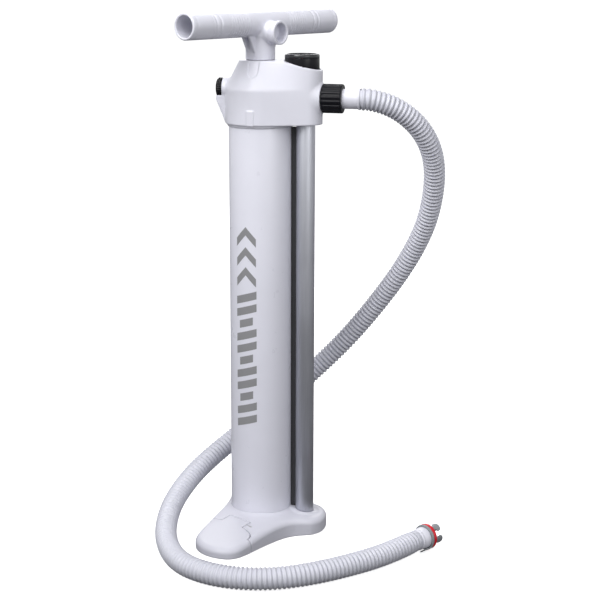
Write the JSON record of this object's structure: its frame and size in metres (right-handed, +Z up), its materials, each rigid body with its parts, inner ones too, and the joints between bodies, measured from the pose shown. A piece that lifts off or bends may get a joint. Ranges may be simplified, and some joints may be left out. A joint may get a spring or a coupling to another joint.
{
  "type": "double action hand pump",
  "caption": "Double action floor pump with T-handle, barrel and side tube, folding feet, pressure gauge and corrugated hose with a bayonet valve fitting.",
  "frame": {"origin": "on the barrel axis, at floor level, in the foot's underside", "axes": "+Z up along the barrel, +X from the barrel towards the side tube and the hose outlet, the feet point to -Y and +Y"},
  "size_m": [0.3467, 0.371, 0.631],
  "materials": {
    "barrel_white": "smooth satin white coating",
    "white_plastic": "fine-grained satin white moulding",
    "satin_aluminium": "satin anodised",
    "black_plastic": "semi-gloss black moulding",
    "grey_plastic": "satin grey moulding",
    "red_rubber": "smooth red rubber",
    "seal_rubber": "black rubber",
    "bush_plastic": "self-lubricating plastic",
    "piston_plastic": "moulded plastic",
    "screw_steel": "zinc plated",
    "clear_lens": "clear moulded lens",
    "dial_face": "printed dial",
    "gauge_brass": "brass",
    "needle_red": "painted",
    "hose_white": "flexible corrugated PVC"
  },
  "bodies": {
    "pump_body": {"barrel": "barrel_white", "side_tube": "satin_aluminium", "joining_strip": "black_plastic", "head": "white_plastic", "rod_bush": "bush_plastic", "rod_seal": "seal_rubber", "barrel_top_gasket": "seal_rubber", "side_tube_top_gasket": "seal_rubber", "head_intake_valve": "seal_rubber", "head_outlet_valve": "seal_rubber", "base": "white_plastic", "base_cover": "white_plastic", "base_screws": "screw_steel", "barrel_foot_gasket": "seal_rubber", "side_tube_foot_gasket": "seal_rubber", "foot_intake_valve": "seal_rubber", "foot_outlet_valve": "seal_rubber", "front_hinge_pin": "screw_steel", "rear_hinge_pin": "screw_steel", "gauge_case": "black_plastic", "gauge_bezel": "black_plastic", "gauge_lens": "clear_lens", "gauge_dial": "dial_face", "gauge_movement": "gauge_brass", "gauge_gasket": "seal_rubber", "outlet_gasket": "seal_rubber", "pump_cuff": "white_plastic", "hose": "hose_white", "end_cuff": "white_plastic", "valve_fitting": "grey_plastic", "valve_gasket": "red_rubber"},
    "piston": {"piston": "piston_plastic", "piston_seal": "seal_rubber", "piston_guide_ring": "bush_plastic"},
    "rod_and_handle": {"piston_rod": "satin_aluminium", "rod_plug": "bush_plastic", "piston_bolt": "screw_steel", "piston_washer": "screw_steel", "handle": "white_plastic", "handle_screw": "screw_steel"},
    "front_toe": {"front_toe": "white_plastic"},
    "rear_toe": {"rear_toe": "white_plastic"},
    "gauge_needle": {"gauge_needle": "needle_red"},
    "mode_cap": {"mode_cap": "black_plastic", "mode_cap_gasket": "seal_rubber"},
    "union_nut": {"union_nut": "black_plastic"}
  },
  "joints": [
    {"name": "pump_stroke", "type": "slide", "parent": "pump_body", "child": "piston", "axis": [0, 0, 1], "range_m": [0, 0.445]},
    {"name": "handle_swivel", "type": "hinge", "parent": "piston", "child": "rod_and_handle", "pos_m": [0, 0, 0.6], "axis": [0, 0, 1], "continuous": true},
    {"name": "front_toe_fold", "type": "hinge", "parent": "pump_body", "child": "front_toe", "pos_m": [-0.0177, -0.0561, 0.0192], "axis": [-0.8829, 0.4695, 0], "range_deg": [0, 90]},
    {"name": "rear_toe_fold", "type": "hinge", "parent": "pump_body", "child": "rear_toe", "pos_m": [-0.0177, 0.0561, 0.0192], "axis": [0.8829, 0.4695, 0], "range_deg": [0, 90]},
    {"name": "gauge_needle_turn", "type": "hinge", "parent": "pump_body", "child": "gauge_needle", "pos_m": [0.05, 0, 0.5746], "axis": [0, 0, -1], "range_deg": [0, 270], "stiffness_Nm_per_rad": 0.001},
    {"name": "mode_cap_turn", "type": "hinge", "parent": "pump_body", "child": "mode_cap", "pos_m": [-0.048, 0, 0.5403], "axis": [-1, 0, 0], "range_deg": [0, 360]},
    {"name": "union_nut_turn", "type": "hinge", "parent": "pump_body", "child": "union_nut", "pos_m": [0.086, 0, 0.5304], "axis": [1, 0, 0], "range_deg": [0, 360]}
  ]
}
